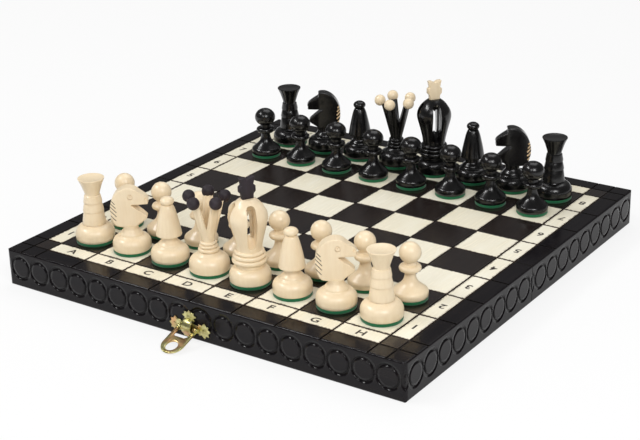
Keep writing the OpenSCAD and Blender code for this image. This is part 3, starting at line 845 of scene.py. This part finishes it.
def burnMarks(half):
    whole = bmesh.new()
    strip, pitch = marks["strip"], board["pitch"]
    rows, y, turn = (range(4), -strip, 0) if half == "front" else (range(4, 8), strip, 180)
    spots = [(files[i].upper(), (i - 3.5) * pitch, y, turn) for i in range(8)]
    for row in rows:
        spots += [(str(row + 1), x, (row - 3.5) * pitch, turn) for x, turn in ((-strip, 0), (strip, 180))]
    for text, x, y, turn in spots:
        mesh = markMesh(text)
        mesh.transform(Matrix.Translation((x, y, board["height"])) @ Matrix.Rotation(math.radians(turn), 4, "Z")
                       @ Matrix.Diagonal((marks["spread"], 1, 1, 1)) @ Matrix.Translation(-middleOf(mesh)))
        whole.from_mesh(mesh)
        bpy.data.meshes.remove(mesh)
    mesh = bpy.data.meshes.new(half + "Marks")
    whole.to_mesh(mesh)
    whole.free()
    addPiece(half + "Marks", mesh, ["inkAndCutShade"], half + "_half")


for half in ("front", "back"):
    burnMarks(half)
print("letters and numbers burnt")


# ---- stage, light and camera
studio = {
    "camera": (0.51669, -0.75425, 0.40150), "turn": (67.493, 1.340, 34.269), "lens": 86.436,
    # place, width, height, power: the key, a fill, a strip for the glints on the black rails, one from behind
    "lamps": [((0.68, -0.55, 0.72), 0.4, 0.4, 4.3), ((0.25, -1.3, 1.1), 0.4, 0.5, 3.5),
              ((-0.92, -0.6, 1.3), 0.8, 0.14, 8.5), ((-0.2, 0.8, 1.5), 1.2, 1.2, 7.0)],
    "room": 0.45, "glossyRoom": 0.15, "floor": tone(236, 236, 236), "seenGlow": 0.8, "mirroredGlow": 0.2,
}


def stageFloor():
    b = bmesh.new()
    bmesh.ops.create_grid(b, x_segments=1, y_segments=1, size=6)
    mesh = bpy.data.meshes.new("floor")
    b.to_mesh(mesh)
    b.free()
    floor = bpy.data.objects.new("floor", mesh)
    bpy.context.scene.collection.objects.link(floor)
    f = Finish("paleFloor")
    f.paint(colour=studio["floor"], roughness=0.9)
    glow = f.node("ShaderNodeEmission", {}, {"Color": (1, 1, 1, 1), "Strength": 1.0})
    share = (f.node("ShaderNodeLightPath", {}, {}, "Is Camera Ray") * studio["seenGlow"]
             + f.node("ShaderNodeLightPath", {}, {}, "Is Glossy Ray") * studio["mirroredGlow"])
    both = f.node("ShaderNodeMixShader", {}, [share, Value(f, f.shader.outputs[0]), glow])
    f.links.new(both.socket, f.out.inputs[0])
    mesh.materials.append(f.material)


def studioRoom():
    world = bpy.data.worlds.new("room")
    bpy.context.scene.world = world
    world.use_nodes = True
    tree = world.node_tree
    tree.nodes.clear()
    path, out = tree.nodes.new("ShaderNodeLightPath"), tree.nodes.new("ShaderNodeOutputWorld")
    whole = tree.nodes.new("ShaderNodeBackground")
    whole.inputs[0].default_value, whole.inputs[1].default_value = (1, 1, 1, 1), studio["room"]
    for ray, strength in (("Is Glossy Ray", studio["glossyRoom"]), ("Is Camera Ray", 1.0)):
        seen, both = tree.nodes.new("ShaderNodeBackground"), tree.nodes.new("ShaderNodeMixShader")
        seen.inputs[0].default_value, seen.inputs[1].default_value = (1, 1, 1, 1), strength
        tree.links.new(path.outputs[ray], both.inputs[0])
        tree.links.new(whole.outputs[0], both.inputs[1])
        tree.links.new(seen.outputs[0], both.inputs[2])
        whole = both
    tree.links.new(whole.outputs[0], out.inputs[0])


def softLamp(place, width, height, power):
    lamp = bpy.data.lights.new("softLamp", "AREA")
    lamp.shape, lamp.size, lamp.size_y, lamp.energy = "RECTANGLE", width, height, power
    o = bpy.data.objects.new("softLamp", lamp)
    o.location = place
    o.rotation_euler = (-Vector(place)).to_track_quat("-Z", "Y").to_euler()
    bpy.context.scene.collection.objects.link(o)


stageFloor()
studioRoom()
for lampKit in studio["lamps"]:
    softLamp(*lampKit)
camera = bpy.data.objects.new("camera", bpy.data.cameras.new("camera"))
camera.location = studio["camera"]
camera.rotation_euler = [math.radians(a) for a in studio["turn"]]
camera.data.lens, camera.data.sensor_width = studio["lens"], 36
bpy.context.scene.collection.objects.link(camera)
bpy.context.scene.camera = camera
bpy.context.scene.view_settings.view_transform = "Standard"
print("stage set")

bpy.context.view_layer.update()
